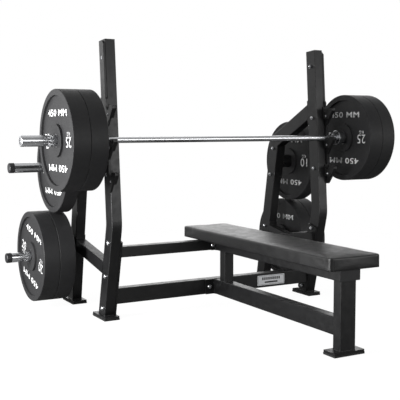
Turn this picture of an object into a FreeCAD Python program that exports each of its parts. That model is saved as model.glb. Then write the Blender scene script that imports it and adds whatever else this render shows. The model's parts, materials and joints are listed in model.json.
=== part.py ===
import FreeCAD, Part
import math
import os

# Olympic bench press with its barbell, bar plates and stored plates.
# Millimetres. X runs along the bar, +Y points from the bench foot to the storage side, +Z is up.
# The origin is on the floor, in the middle of the footprint.
# "aft" is a distance behind the bar's axis, so a negative aft lies on the bench side.

os.makedirs("parts", exist_ok=True)
Vec = FreeCAD.Vector
ACROSS = Vec(1, 0, 0)

# ---------------------------------------------------------------- driving dimensions
bar_z = 847.0                 # bar axis above the floor, bar in the middle hooks
upright_outer_x = 613.0       # outer face of each upright
tube_x = 50.0                 # frame tube, side to side
tube_n = 75.0                 # frame tube, across its length in the side view
tube_wall = 3.0
corner_r = 3.5
upright_base_aft = 141.5      # upright centreline at the floor
knee_aft, knee_z = 29.6, 452.0
top_aft, top_z = 92.8, 1302.2   # middle of the upright's square-cut top
knee_bend_r = 120.0
post_base_aft = 570.1         # rear post centreline at the floor
post_lean = 0.178             # forward lean of the post for each unit of height
brace_slope = 0.5095          # fall of the brace for each unit backwards
brace_start_aft, brace_start_z = 109.0, 982.9
side_rail_n = 60.0
side_rail_aft, side_rail_z = 352.0, 288.5
flange_t = 6.0

foot_rubber_t = 8.0
foot_steel_t = 10.0
foot_x, foot_y = 75.0, 154.0
bench_foot_x, bench_foot_y = 150.0, 75.0

end_plate_t = 10.0
end_plate_low_z, end_plate_high_z = 27.0, 383.0
lower_cross_z, lower_cross_h = 107.5, 75.0
upper_cross_z, upper_cross_h = 325.0, 50.0
cross_depth = 50.0
bench_flange_t, bench_flange_x = 8.0, 150.0

pad_x, pad_t = 242.0, 56.0
pad_foot_aft, pad_head_aft = -979.0, 225.0
pad_base_z = 350.0
pad_corner_r, pad_edge_r = 14.0, 7.0
board_t, board_inset = 12.0, 7.0
support_x, support_h = 100.0, 50.0
support_front_aft = -945.0
cap_t = 3.0
foot_leg_aft, foot_leg_x, foot_leg_y = -911.7, 75.0, 50.0
head_leg_aft, head_leg_y = 3.0, 50.0

bar_r = 14.0
shaft_half = 662.0            # full-size shaft, from the middle to just short of the sleeve
journal_r, journal_half = 12.5, 1012.0
journal_head_r, journal_head_t = 14.0, 6.0
sleeve_r, sleeve_tip = 25.0, 1030.0
sleeve_start = 664.0
lip_r, lip_t = 12.9, 3.0      # opening of the sleeve around the journal
collar_r, collar_t = 38.0, 12.0
shoulder_r = 30.0
bush_r, bush_length = 16.0, 40.0
running_gap = 0.06
sleeve_cap_t, sleeve_cap_inset = 8.0, 2.0

plate_r = 225.0
bar_plate_x, bar_plate_t = 713.0, 80.0
stored_plate_x, lower_plate_t, upper_plate_t = 675.0, 80.0, 70.0
plate_edge_r = 3.5
rim_r, boss_r = 198.0, 73.0
face_recess, recess_slope = 10.0, 1.5
hub_r, bore_r = 32.0, 25.4
hub_inset = 1.5

upper_peg_z, lower_peg_z = 710.0, 262.0
peg_r, peg_wall, peg_tip = 24.0, 3.0, 958.0
peg_cap_length, peg_cap_r, peg_plug_length = 26.0, 24.6, 14.0
bracket_t, bracket_n, bracket_length = 8.0, 66.0, 190.0
bracket_bolt_pitch = 148.0
base_collar_r = 36.0

hook_pitch = 150.0
hook_steel_t, liner_t = 10.0, 10.0
pocket_r, steel_pocket_r = 14.3, 15.3
horn_reach, horn_top, horn_nose = 58.0, 5.0, 8.0
horn_root = (3.0, -88.0)
hook_back, hook_top, hook_bottom = 20.0, 33.0, 90.0
strip_top_z, strip_bevel = 1297.0, 13.0
liner_gap, liner_top, liner_bottom = 0.5, 12.0, 50.0
lift_angle = 65.0             # direction in which the bar leaves a hook, above the horizontal
rivet_r, rivet_head_r, rivet_head_h = 3.0, 6.0, 3.0
rivet_place = (-5.0, -36.0)

bolt_r, bolt_head_r, bolt_head_h = 5.0, 11.0, 6.5
socket_r, socket_depth = 3.6, 3.5
nut_r, nut_h, nut_dome_r = 9.5, 7.0, 7.0
hole_gap = 0.3
upright_bolt_z = (1220.0, 952.0, 687.0)
end_plate_bolt_z = (370.0, 208.0, 49.0)
bench_bolt_x = {"lower": 52.0, "upper": 63.0}
pad_screw_r, pad_screw_head_r, pad_screw_head_h = 4.0, 8.0, 4.0
pad_screw_x, pad_screw_afts = 28.0, (-800.0, -450.0, -100.0)

name_plate_x, name_plate_w, name_plate_h, name_plate_t = 322.0, 168.0, 52.0, 1.5

# ---------------------------------------------------------------- derived places
upright_x = upright_outer_x - tube_x / 2
upright_inner_x = upright_outer_x - tube_x
upper_lean = (top_aft - knee_aft) / (top_z - knee_z)
lower_lean = (upright_base_aft - knee_aft) / knee_z
foot_top_z = foot_rubber_t + foot_steel_t
cross_half = upright_inner_x - end_plate_t


def post_aft(z):
    return post_base_aft - post_lean * z


def upright_aft(z):
    if z > knee_z:
        return knee_aft + (z - knee_z) * upper_lean
    return upright_base_aft - z * lower_lean


# The longest reaches are the pad's foot end and the rear of the lower stored plates.
bar_y = -(pad_foot_aft + post_aft(lower_peg_z) + plate_r) / 2


def point(x, aft, z):
    return Vec(x, bar_y + aft, z)


# ---------------------------------------------------------------- shape helpers
def placed(shape, origin, x_axis, z_axis):
    """Stand a shape drawn in local axes at origin, with its X and Z along the given directions."""
    y_axis = z_axis.cross(x_axis)
    matrix = FreeCAD.Matrix(x_axis.x, y_axis.x, z_axis.x, origin.x,
                            x_axis.y, y_axis.y, z_axis.y, origin.y,
                            x_axis.z, y_axis.z, z_axis.z, origin.z, 0, 0, 0, 1)
    moved = shape.copy()
    moved.Placement = FreeCAD.Placement(matrix)
    return moved


def rounded_face(width, depth, radius):
    """A rounded rectangle about the local origin, width along X and depth along Y."""
    across, along = width / 2 - radius, depth / 2 - radius
    corners = ((across, along), (-across, along), (-across, -along), (across, -along))
    arcs = []
    for quarter, (cx, cy) in enumerate(corners):
        turns = [math.radians(90 * quarter + step) for step in (0, 45, 90)]
        arcs.append([Vec(cx + radius * math.cos(t), cy + radius * math.sin(t), 0) for t in turns])
    edges = []
    for arc, following in zip(arcs, arcs[1:] + arcs[:1]):
        edges.append(Part.Arc(*arc).toShape())
        edges.append(Part.makeLine(arc[2], following[0]))
    return Part.Face(Part.Wire(edges))


def section_faces(width, depth, wall):
    """Outer and inner outlines of a rectangular tube."""
    outer = rounded_face(width, depth, corner_r)
    inner = rounded_face(width - 2 * wall, depth - 2 * wall, corner_r - wall)
    return outer, inner


def beam(start, end, width, depth, side=ACROSS, wall=tube_wall):
    """A straight tube from start to end, width along side."""
    axis = end - start
    length = axis.Length
    axis.normalize()
    outer, inner = section_faces(width, depth, wall)
    tube = outer.extrude(Vec(0, 0, length)).cut(inner.extrude(Vec(0, 0, length)))
    return placed(tube, start, side, axis)


def bar_block(start, end, width, depth, radius, side=ACROSS):
    """A solid rounded bar from start to end."""
    axis = end - start
    length = axis.Length
    axis.normalize()
    return placed(rounded_face(width, depth, radius).extrude(Vec(0, 0, length)), start, side, axis)


def trimmed(shape, origin, normal):
    """Cut away everything beyond a plane, on the side its normal points to."""
    normal = Vec(normal)
    normal.normalize()
    across = ACROSS if abs(normal.x) < 0.9 else Vec(0, 1, 0)
    reach = 4000.0
    block = Part.makeBox(reach, reach, reach, Vec(-reach / 2, -reach / 2, 0))
    return shape.cut(placed(block, origin, across, normal))


def turned(profile, origin, axis):
    """A solid of revolution. The profile's points are (distance along axis, radius)."""
    outline = [Vec(radius, 0, along) for along, radius in profile]
    wire = Part.makePolygon(outline + outline[:1])
    solid = Part.Face(wire).revolve(Vec(0, 0, 0), Vec(0, 0, 1), 360)
    across = Vec(0, 1, 0) if abs(axis.x) > 0.5 else ACROSS
    return placed(solid, origin, across, axis)


def rod(origin, axis, radius, length):
    return Part.makeCylinder(radius, length, origin, axis)


def ring(x_start, length, outer_r, inner_r, y, z):
    start = Vec(x_start, y, z)
    return rod(start, ACROSS, outer_r, length).cut(rod(start, ACROSS, inner_r, length))


def mirrored(shape):
    return shape.mirror(Vec(0, 0, 0), ACROSS)


def both_sides(build):
    """Build a piece for the left (-X) side and mirror it for the right."""
    left = build()
    return left, mirrored(left)


def cross_holes(shape, places, radius):
    """Drill a shape from side to side at (aft, z) places."""
    for aft, z in places:
        shape = shape.cut(rod(point(-sleeve_tip, aft, z), ACROSS, radius, 2 * sleeve_tip))
    return shape


# ---------------------------------------------------------------- fasteners
def dome_profile(radius, height):
    """A button head on the plane of distance 0, rising to height."""
    steps = [math.radians(15 * step) for step in range(7)]
    return [(height * math.sin(t), radius * math.cos(t)) for t in steps[:-1]] + [(height, 0)]


def hexagon_prism(origin, axis, radius, length):
    """A six-sided prism from origin along axis; radius is measured to its corners."""
    turns = [math.radians(60 * k) for k in range(7)]
    corners = [Vec(radius * math.cos(t), radius * math.sin(t), 0) for t in turns]
    across = Vec(0, 1, 0) if abs(axis.x) > 0.5 else ACROSS
    return placed(Part.Face(Part.makePolygon(corners)).extrude(Vec(0, 0, length)), origin, across, axis)


def dome_bolt(origin, outward, grip, radius=bolt_r, head_r=bolt_head_r, head_h=bolt_head_h):
    """A button-headed socket bolt: head outwards from origin, shank running grip the other way."""
    profile = [(-grip, 0), (-grip, radius), (0, radius), (0, head_r)]
    bolt = turned(profile + dome_profile(head_r, head_h)[1:], origin, outward)
    scale = head_r / bolt_head_r
    floor = origin + outward * (head_h - socket_depth * scale)
    return bolt.cut(hexagon_prism(floor, outward, socket_r * scale, head_h))


def cap_nut(origin, outward):
    """A hexagon nut with a domed, closed end, seated on origin."""
    hexagon = hexagon_prism(origin, outward, nut_r, nut_h)
    dome = [(nut_h - 1, 0), (nut_h - 1, nut_dome_r), (nut_h, nut_dome_r)]
    dome += [(nut_h + along, r) for along, r in dome_profile(nut_dome_r, nut_dome_r)[1:]]
    socket = rod(origin, outward, bolt_r + hole_gap, nut_h + 1)
    return hexagon.fuse(turned(dome, origin, outward)).cut(socket).removeSplitter()


def bolt_and_nut(head, outward, grip):
    """A bolt through a grip of material and the cap nut on its far side."""
    return dome_bolt(head, outward, grip + nut_h), cap_nut(head - outward * grip, outward * -1)


# ---------------------------------------------------------------- side frames
def upright_path_solid(face):
    """Carry a section face up the bent centreline of the left upright."""
    start = point(-upright_x, upright_base_aft, 0)
    knee = point(-upright_x, knee_aft, knee_z)
    top = upright_top()
    low_dir = (knee - start).normalize()
    high_dir = upper_axis()
    turn = low_dir.getAngle(high_dir)
    tangent = knee_bend_r * math.tan(turn / 2)
    bend_start = knee - low_dir * tangent
    bend_end = knee + high_dir * tangent
    centre = bend_start + low_dir.cross(ACROSS) * knee_bend_r
    lower = placed(face, start, ACROSS, low_dir).extrude(bend_start - start)
    bend = placed(face, bend_start, ACROSS, low_dir).revolve(centre, ACROSS, -math.degrees(turn))
    upper = placed(face, bend_end, ACROSS, high_dir).extrude(top - bend_end)
    return lower.fuse([bend, upper]).removeSplitter()


def upper_axis():
    return Vec(0, upper_lean, 1).normalize()


def upright_top():
    return point(-upright_x, top_aft, top_z)


def upright_bolt_places():
    return [(upright_aft(z), z) for z in upright_bolt_z + end_plate_bolt_z]


def front_upright():
    outer, inner = section_faces(tube_x, tube_n, tube_wall)
    upright = upright_path_solid(outer).cut(upright_path_solid(inner))
    upright = trimmed(upright, point(0, 0, foot_top_z), Vec(0, 0, -1))
    top = upright_top()
    upright = trimmed(upright, top - upper_axis() * cap_t, upper_axis())
    return cross_holes(upright, upright_bolt_places(), bolt_r + hole_gap)


def post_axis():
    return Vec(0, -post_lean, 1).normalize()


def brace_axis():
    return Vec(0, 1, -brace_slope).normalize()


def frame_corner():
    """Where the centrelines of the brace and the rear post meet."""
    start_z = brace_start_z - brace_slope * (post_base_aft - brace_start_aft)
    z = start_z / (1 - brace_slope * post_lean)
    return point(-upright_x, post_aft(z), z)


def bracket_bolt_places():
    places = []
    for z in (upper_peg_z, lower_peg_z):
        for step in (-bracket_bolt_pitch / 2, bracket_bolt_pitch / 2):
            places.append((post_aft(z + step), z + step))
    return places


def rear_post():
    corner = frame_corner()
    post = beam(point(-upright_x, post_aft(0), 0), corner + post_axis() * tube_n, tube_x, tube_n)
    post = trimmed(post, corner, post_axis() - brace_axis())
    post = trimmed(post, point(0, 0, foot_top_z), Vec(0, 0, -1))
    return cross_holes(post, bracket_bolt_places(), bolt_r + hole_gap)


def rear_of_upright(z):
    """Centre of the left upright's rear face near a height, and the face's outward normal."""
    lean = upper_lean if z > knee_z else -lower_lean
    along = Vec(0, lean, 1).normalize()
    outward = Vec(0, along.z, -along.y)
    return point(-upright_x, upright_aft(z), z) + outward * (tube_n / 2), outward


def upper_brace():
    corner = frame_corner()
    back = brace_axis() * -1
    start = corner + back * 420
    brace = beam(start, corner - back * tube_n, tube_x, tube_n)
    brace = trimmed(brace, corner, brace_axis() - post_axis())
    face, outward = rear_of_upright(brace_start_z)
    brace = trimmed(brace, face + outward * flange_t, outward * -1)
    flange_low, flange_high = brace_start_z - 62, brace_start_z + 62
    low, _ = rear_of_upright(flange_low)
    high, _ = rear_of_upright(flange_high)
    shift = outward * (flange_t / 2)
    flange = bar_block(low + shift, high + shift, tube_x, flange_t, 1.5)
    return brace.fuse(flange).removeSplitter()


def side_rail():
    rail_dir = Vec(0, 1, post_lean).normalize()
    middle = point(-upright_x, side_rail_aft, side_rail_z)
    rail = beam(middle - rail_dir * 400, middle + rail_dir * 300, tube_x, side_rail_n)
    front, front_normal = rear_of_upright(side_rail_z - 40)
    rail = trimmed(rail, front, front_normal * -1)
    post_z = side_rail_z + 23
    back_normal = rail_dir * -1
    back = point(-upright_x, post_aft(post_z), post_z) + back_normal * (tube_n / 2)
    rail = trimmed(rail, back + back_normal * flange_t, rail_dir)
    half = 56.0
    shift = back_normal * (flange_t / 2)
    flange = bar_block(back + shift - post_axis() * half, back + shift + post_axis() * half,
                       tube_x, flange_t, 1.5)
    return rail.fuse(flange).removeSplitter()


# ---------------------------------------------------------------- feet, cross members, bench
def foot_places():
    """Foot centres as (x, aft, size along X, size along Y)."""
    places = []
    for x in (-upright_x, upright_x):
        places.append((x, upright_base_aft, foot_x, foot_y))
        places.append((x, post_aft(foot_top_z), foot_x, foot_y))
    places.append((0, foot_leg_aft, bench_foot_x, bench_foot_y))
    return places


def foot_layer(z, thickness, grow):
    solids = []
    for x, aft, size_x, size_y in foot_places():
        solids.append(bar_block(point(x, aft, z), point(x, aft, z + thickness),
                                size_x + grow, size_y + grow, corner_r))
    return solids


def end_plate():
    along = Vec(0, -lower_lean, 1).normalize()
    x = -upright_inner_x + end_plate_t / 2
    low = point(x, upright_aft(end_plate_low_z), end_plate_low_z)
    high = point(x, upright_aft(end_plate_high_z), end_plate_high_z)
    length = (high - low).Length
    plate = bar_block(low, low + along * length, end_plate_t, tube_n, 2.0)
    places = [(upright_aft(z), z) for z in end_plate_bolt_z]
    return cross_holes(plate, places, bolt_r + hole_gap)


def cross_member(z, height, bolt_x):
    aft = upright_aft(z)
    backwards = Vec(0, 1, 0)
    tube = beam(point(-cross_half, aft, z), point(cross_half, aft, z), cross_depth, height, backwards)
    for x in (-bolt_x, bolt_x):
        start = point(x, aft - cross_depth, z)
        tube = tube.cut(rod(start, backwards, bolt_r + hole_gap, 2 * cross_depth))
    return tube


def cross_front(z):
    return upright_aft(z) - cross_depth / 2


def bench_flange(z, height, bolt_x):
    front = cross_front(z)
    flange = bar_block(point(0, front - bench_flange_t, z), point(0, front, z),
                       bench_flange_x, height, 4.0)
    for x in (-bolt_x, bolt_x):
        flange = flange.cut(rod(point(x, front - 20, z), Vec(0, 1, 0), bolt_r + hole_gap, 40))
    return flange


def bench_bolts(z, bolt_x):
    front = point(0, cross_front(z) - bench_flange_t, z)
    pairs = []
    for x in (-bolt_x, bolt_x):
        pairs.append(bolt_and_nut(front + Vec(x, 0, 0), Vec(0, -1, 0), bench_flange_t + cross_depth))
    return pairs


def lower_rail():
    start = point(0, cross_front(lower_cross_z) - bench_flange_t, lower_cross_z)
    end = point(0, foot_leg_aft + foot_leg_y / 2, lower_cross_z)
    return beam(end, start, tube_x, lower_cross_h)


def upright_leg(aft, size_x, size_y, low, high):
    return beam(point(0, aft, low), point(0, aft, high), size_x, size_y)


def pad_screw_places():
    return [(x, aft) for aft in pad_screw_afts for x in (-pad_screw_x, pad_screw_x)]


def screw_holes(shape):
    for x, aft in pad_screw_places():
        shape = shape.cut(rod(point(x, aft, 0), Vec(0, 0, 1), pad_screw_r + hole_gap, 600))
    return shape


def support_rail():
    start = point(0, support_front_aft + cap_t, pad_base_z - support_h / 2)
    end = point(0, cross_front(upper_cross_z) - bench_flange_t, pad_base_z - support_h / 2)
    return screw_holes(beam(start, end, support_x, support_h))


def pad_block(inset, low, high, radius):
    middle = (pad_foot_aft + pad_head_aft) / 2
    length = pad_head_aft - pad_foot_aft
    return bar_block(point(0, middle, low), point(0, middle, high),
                     pad_x - 2 * inset, length - 2 * inset, radius)


def pad_board():
    return screw_holes(pad_block(board_inset, pad_base_z, pad_base_z + board_t, pad_corner_r - board_inset))


def bench_pad():
    pad = pad_block(0, pad_base_z, pad_base_z + pad_t, pad_corner_r)
    crown = [edge for edge in pad.Edges if edge.BoundBox.ZMin > pad_base_z + pad_t - 0.01]
    pad = pad.makeFillet(pad_edge_r, crown)
    return pad.cut(pad_block(board_inset, pad_base_z, pad_base_z + board_t, pad_corner_r - board_inset))


def tube_caps():
    caps = []
    top = upright_top()
    cap = bar_block(top - upper_axis() * cap_t, top, tube_x, tube_n, corner_r)
    caps += [cap, mirrored(cap)]
    end = point(0, support_front_aft, pad_base_z - support_h / 2)
    caps.append(bar_block(end, end + Vec(0, cap_t, 0), support_x, support_h, corner_r))
    return caps


def name_plate():
    face = cross_front(lower_cross_z)
    return bar_block(point(name_plate_x, face - name_plate_t, lower_cross_z),
                     point(name_plate_x, face, lower_cross_z), name_plate_w, name_plate_h, 3.0)


# ---------------------------------------------------------------- hooks
def pocket_centre(step):
    """Centre of a bar seat; step -1, 0 or 1 counts the hooks upwards from the middle one."""
    return step * hook_pitch * upper_lean, bar_z + step * hook_pitch


def hook_steps(radius, centre):
    """Outline pieces of one seat and its horn, from the seat's back wall to the horn's nose."""
    aft, z = centre
    lift = math.radians(lift_angle)

    def spot(offset, rise):
        return point(0, aft + offset, z + rise)

    back = spot(radius, 0)
    half_turn = math.radians((90 + lift_angle) / 2)
    low = spot(radius * math.cos(half_turn), -radius * math.sin(half_turn))
    front = spot(-radius * math.sin(lift), -radius * math.cos(lift))
    rise = horn_top + radius * math.cos(lift)
    lip = spot(-radius * math.sin(lift) - rise / math.tan(lift), horn_top)
    chamfer = 3.0
    nose = [spot(chamfer - horn_reach, horn_top), spot(-horn_reach, horn_top - chamfer),
            spot(-horn_reach, -horn_nose)]
    seat = [Part.Arc(back, low, front).toShape(), Part.makeLine(front, lip)]
    return back, seat, [lip] + nose


def closed_plate(edges, x, thickness):
    """Extrude a closed outline of edges, drawn in the plane X = 0, from x towards +X."""
    plate = Part.Face(Part.Wire(edges)).extrude(Vec(thickness, 0, 0))
    plate.translate(Vec(x, 0, 0))
    return plate


def lines(points):
    return [Part.makeLine(a, b) for a, b in zip(points, points[1:])]


def upright_front(z):
    return upright_aft(z) - (tube_n / 2) * math.sqrt(1 + upper_lean ** 2)


def hook_plate():
    """The left hook plate: three seats one above another and a strip up to the tube's top."""
    top_centre, bottom_centre = pocket_centre(1), pocket_centre(-1)
    high, low = top_centre[1] + hook_top, bottom_centre[1] - hook_bottom
    bevel_z, shoulder_z = strip_top_z - strip_bevel, high + strip_bevel
    last = point(0, top_centre[0] + steel_pocket_r, high)
    top = [point(0, upright_front(strip_top_z) + hook_back, strip_top_z),
           point(0, upright_front(strip_top_z) + strip_bevel, strip_top_z),
           point(0, upright_front(bevel_z), bevel_z),
           point(0, upright_front(shoulder_z), shoulder_z), last]
    edges = lines(top)
    for step in (1, 0, -1):
        aft, z = pocket_centre(step)
        back, seat, horn = hook_steps(steel_pocket_r, (aft, z))
        root = point(0, aft + horn_root[0], z + horn_root[1])
        edges += lines([last, back]) + seat + lines(horn + [root])
        last = root
    edges += lines([last, point(0, upright_front(low) + hook_back, low), top[0]])
    plate = closed_plate(edges, -upright_outer_x - hook_steel_t, hook_steel_t)
    return cross_holes(plate, rivet_places(), rivet_r + hole_gap)


def hook_liners():
    """Three plastic blocks on the inner side of the left hook plate, one under each bar seat."""
    solids = []
    for step in (1, 0, -1):
        aft, z = pocket_centre(step)
        back, seat, horn = hook_steps(pocket_r, (aft, z))
        high, low = z + liner_top, z - liner_bottom
        share = (liner_bottom - horn_nose) / (-horn_root[1] - horn_nose)
        slope_aft = aft - horn_reach + share * (horn_root[0] + horn_reach)
        outline = lines([point(0, upright_front(high) - liner_gap, high),
                         point(0, aft + pocket_r, high), back])
        outline += seat + lines(horn + [point(0, slope_aft, low),
                                        point(0, upright_front(low) - liner_gap, low),
                                        point(0, upright_front(high) - liner_gap, high)])
        block = closed_plate(outline, -upright_outer_x, liner_t)
        solids.append(cross_holes(block, rivet_places(), rivet_r + hole_gap))
    return solids


def rivet_places():
    centres = [pocket_centre(step) for step in (1, 0, -1)]
    return [(aft + rivet_place[0], z + rivet_place[1]) for aft, z in centres]


def liner_rivets():
    """Round-headed rivets through each liner and the left hook plate."""
    rivets = []
    thickness = hook_steel_t + liner_t
    dome = dome_profile(rivet_head_r, rivet_head_h)[1:]
    for aft, z in rivet_places():
        near = [(-along, r) for along, r in reversed(dome)]
        far = [(thickness + along, r) for along, r in dome]
        profile = near + [(0, rivet_head_r), (0, rivet_r), (thickness, rivet_r), (thickness, rivet_head_r)]
        rivets.append(turned(profile + far, point(-upright_outer_x - hook_steel_t, aft, z), ACROSS))
    return rivets


# ---------------------------------------------------------------- storage pegs
def peg_bracket(z):
    """A bolted plate on the left post's outer face with the spacer collar welded to it."""
    centre = point(-upright_outer_x, post_aft(z), z)
    half = post_axis() * (bracket_length / 2)
    middle = centre - Vec(bracket_t / 2, 0, 0)
    plate = bar_block(middle - half, middle + half, bracket_t, bracket_n, 3.0)
    collar = ring(-stored_plate_x, stored_plate_x - upright_outer_x - bracket_t,
                  base_collar_r, peg_r + hole_gap, centre.y, z)
    bracket = plate.fuse(collar).removeSplitter()
    return cross_holes(bracket, bracket_bolt_places(), bolt_r + hole_gap)


def storage_peg(z):
    end = peg_tip - peg_cap_length
    start = upright_outer_x + bracket_t
    return ring(-end, end - start, peg_r, peg_r - peg_wall, bar_y + post_aft(z), z)


def peg_cap(z):
    """A pushed-in end cap with rounded nose."""
    plug_r = peg_r - peg_wall - 0.1
    nose = 5.0
    profile = [(-peg_plug_length, 0), (-peg_plug_length, plug_r), (0, plug_r), (0, peg_cap_r)]
    for turn in (0, 30, 60, 90):
        t = math.radians(turn)
        profile.append((peg_cap_length - nose * (1 - math.sin(t)), peg_cap_r - nose * (1 - math.cos(t))))
    profile.append((peg_cap_length, 0))
    return turned(profile, point(-peg_tip + peg_cap_length, post_aft(z), z), Vec(-1, 0, 0))


# ---------------------------------------------------------------- barbell
def shaft():
    """The bar: full-size between the sleeves, turned down inside them, with a headed end."""
    step, end = shaft_half, journal_half
    half = [(step, bar_r), (step, journal_r), (end - journal_head_t, journal_r),
            (end - journal_head_t, journal_head_r), (end, journal_head_r), (end, 0)]
    profile = [(-along, r) for along, r in reversed(half)] + half
    return turned(profile, point(0, 0, bar_z), ACROSS)


def sleeve():
    """The left sleeve with its collar and shoulder, bored for the bushings behind a narrower lip."""
    chamfer = 2.0
    bore_start = sleeve_start + lip_t
    collar_end = sleeve_start + collar_t
    profile = [(bore_start, bush_r), (bore_start, lip_r), (sleeve_start, lip_r),
               (sleeve_start, collar_r - chamfer), (sleeve_start + chamfer, collar_r),
               (collar_end - chamfer, collar_r), (collar_end, collar_r - chamfer),
               (collar_end, shoulder_r), (bar_plate_x - chamfer, shoulder_r),
               (bar_plate_x, shoulder_r - chamfer), (bar_plate_x, sleeve_r),
               (sleeve_tip - chamfer, sleeve_r), (sleeve_tip, sleeve_r - chamfer), (sleeve_tip, bush_r)]
    return turned(profile, point(0, 0, bar_z), Vec(-1, 0, 0))


def sleeve_bushings():
    outer_end = journal_half - journal_head_t - 4
    starts = (sleeve_start + lip_t, outer_end - bush_length)
    return [ring(-start - bush_length, bush_length, bush_r, journal_r + running_gap, bar_y, bar_z)
            for start in starts]


def sleeve_end_cap():
    end = sleeve_tip - sleeve_cap_inset
    return rod(point(-end, 0, bar_z), ACROSS, bush_r, sleeve_cap_t)


# ---------------------------------------------------------------- weight plates
def plate_half_profile(thickness):
    """Right half of a bumper plate's section, as (distance from the middle, radius), hub to rim."""
    half = thickness / 2
    floor = half - face_recess
    outline = [(half, hub_r), (half, boss_r - recess_slope), (floor, boss_r), (floor, rim_r - recess_slope),
               (half, rim_r)]
    for turn in (0, 30, 60, 90):
        t = math.radians(turn)
        outline.append((half - plate_edge_r + plate_edge_r * math.cos(t),
                        plate_r - plate_edge_r + plate_edge_r * math.sin(t)))
    return outline


def weight_plate(x_inner, thickness, aft, z):
    """Rubber disc of a plate on the left side, its inner face at -x_inner."""
    right = plate_half_profile(thickness)
    left = [(-along, r) for along, r in reversed(right)]
    return turned(right + left, point(-x_inner - thickness / 2, aft, z), ACROSS)


def plate_hub(x_inner, thickness, aft, z):
    """Steel bush in the middle of a plate."""
    length = thickness - 2 * hub_inset
    return ring(-x_inner - thickness + hub_inset, length, hub_r, bore_r, bar_y + aft, z)


def plate_stack():
    """Every plate of the left side: name, inner face, thickness, aft and height of its centre."""
    upper, lower = post_aft(upper_peg_z), post_aft(lower_peg_z)
    return [("inner_bar_plate", bar_plate_x, bar_plate_t, 0, bar_z),
            ("outer_bar_plate", bar_plate_x + bar_plate_t, bar_plate_t, 0, bar_z),
            ("upper_stored_plate", stored_plate_x, upper_plate_t, upper, upper_peg_z),
            ("lower_inner_stored_plate", stored_plate_x, lower_plate_t, lower, lower_peg_z),
            ("lower_outer_stored_plate", stored_plate_x + lower_plate_t, lower_plate_t, lower, lower_peg_z)]


# ---------------------------------------------------------------- assembly
def frame_fasteners():
    """All bolts and cap nuts of the frame, as two lists."""
    pairs = []
    outward = Vec(-1, 0, 0)
    for z in upright_bolt_z:
        pairs.append(bolt_and_nut(point(-upright_outer_x, upright_aft(z), z), outward, tube_x))
    for z in end_plate_bolt_z:
        grip = tube_x + end_plate_t
        pairs.append(bolt_and_nut(point(-upright_outer_x, upright_aft(z), z), outward, grip))
    for aft, z in bracket_bolt_places():
        grip = tube_x + bracket_t
        pairs.append(bolt_and_nut(point(-upright_outer_x - bracket_t, aft, z), outward, grip))
    pairs += [(mirrored(bolt), mirrored(nut)) for bolt, nut in pairs]
    pairs += bench_bolts(lower_cross_z, bench_bolt_x["lower"])
    pairs += bench_bolts(upper_cross_z, bench_bolt_x["upper"])
    return [bolt for bolt, _ in pairs], [nut for _, nut in pairs]


def pad_screws():
    base = pad_base_z - support_h
    grip = support_h + board_t - 2
    down = Vec(0, 0, -1)
    return [dome_bolt(point(x, aft, base), down, grip, pad_screw_r, pad_screw_head_r, pad_screw_head_h)
            for x, aft in pad_screw_places()]


def build_nodes():
    nodes = {}

    def pair(name, build):
        nodes["left_" + name], nodes["right_" + name] = both_sides(build)

    def mirrored_group(name, solids):
        nodes[name] = Part.makeCompound(solids + [mirrored(solid) for solid in solids])

    pair("front_upright", front_upright)
    pair("rear_post", rear_post)
    pair("upper_brace", upper_brace)
    pair("side_rail", side_rail)
    nodes["foot_plates"] = Part.makeCompound(foot_layer(foot_rubber_t, foot_steel_t, 0))
    nodes["rubber_foot_pads"] = Part.makeCompound(foot_layer(0, foot_rubber_t, 2))
    mirrored_group("cross_end_plates", [end_plate()])
    nodes["lower_cross_member"] = cross_member(lower_cross_z, lower_cross_h, bench_bolt_x["lower"])
    nodes["upper_cross_member"] = cross_member(upper_cross_z, upper_cross_h, bench_bolt_x["upper"])
    nodes["bench_rail_flanges"] = Part.makeCompound([
        bench_flange(lower_cross_z, lower_cross_h, bench_bolt_x["lower"]),
        bench_flange(upper_cross_z, upper_cross_h, bench_bolt_x["upper"])])
    nodes["bench_lower_rail"] = lower_rail()
    nodes["bench_foot_leg"] = upright_leg(foot_leg_aft, foot_leg_x, foot_leg_y, foot_top_z,
                                          pad_base_z - support_h)
    nodes["bench_head_leg"] = upright_leg(head_leg_aft, tube_x, head_leg_y,
                                          lower_cross_z + lower_cross_h / 2, pad_base_z - support_h)
    nodes["pad_support_rail"] = support_rail()
    nodes["pad_board"] = pad_board()
    nodes["bench_pad"] = bench_pad()
    nodes["tube_end_caps"] = Part.makeCompound(tube_caps())
    nodes["name_plate"] = name_plate()

    pair("hook_plate", hook_plate)
    mirrored_group("hook_liners", hook_liners())
    mirrored_group("liner_rivets", liner_rivets())

    pegs = [storage_peg(upper_peg_z), storage_peg(lower_peg_z)]
    pair("storage_pegs", lambda: Part.makeCompound(pegs))
    mirrored_group("peg_brackets", [peg_bracket(upper_peg_z), peg_bracket(lower_peg_z)])
    mirrored_group("peg_end_caps", [peg_cap(upper_peg_z), peg_cap(lower_peg_z)])

    bolts, nuts = frame_fasteners()
    nodes["frame_bolts"] = Part.makeCompound(bolts)
    nodes["frame_nuts"] = Part.makeCompound(nuts)
    nodes["pad_screws"] = Part.makeCompound(pad_screws())

    nodes["bar_shaft"] = shaft()
    pair("sleeve", sleeve)
    pair("sleeve_bushings", lambda: Part.makeCompound(sleeve_bushings()))
    pair("sleeve_end_cap", sleeve_end_cap)

    for name, x_inner, thickness, aft, z in plate_stack():
        pair(name, lambda: weight_plate(x_inner, thickness, aft, z))
        pair(name.replace("plate", "hub"), lambda: plate_hub(x_inner, thickness, aft, z))
    return nodes


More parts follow.
